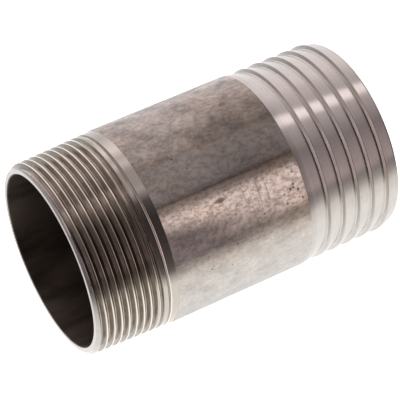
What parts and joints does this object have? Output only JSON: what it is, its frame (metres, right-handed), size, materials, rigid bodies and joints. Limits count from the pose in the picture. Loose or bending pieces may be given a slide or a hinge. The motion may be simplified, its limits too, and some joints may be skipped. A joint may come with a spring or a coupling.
{
  "type": "hose tail",
  "caption": "Straight stainless steel pipe fitting with a male taper thread at one end and a ribbed spigot at the other for a clamped hose.",
  "frame": {"origin": "on the pipe's axis, at the middle of the hose-end face that it stands on", "axes": "+Z along the pipe's axis from the hose end up to the threaded end; X and Y are any two directions across it"},
  "size_m": [0.0603, 0.0602, 0.1],
  "materials": {
    "stainless_steel": "stained mill skin on the plain pipe, turned bright on the ribs, cut thread"
  },
  "bodies": {
    "root": {"hose_tail": "stainless_steel"}
  },
  "joints": []
}
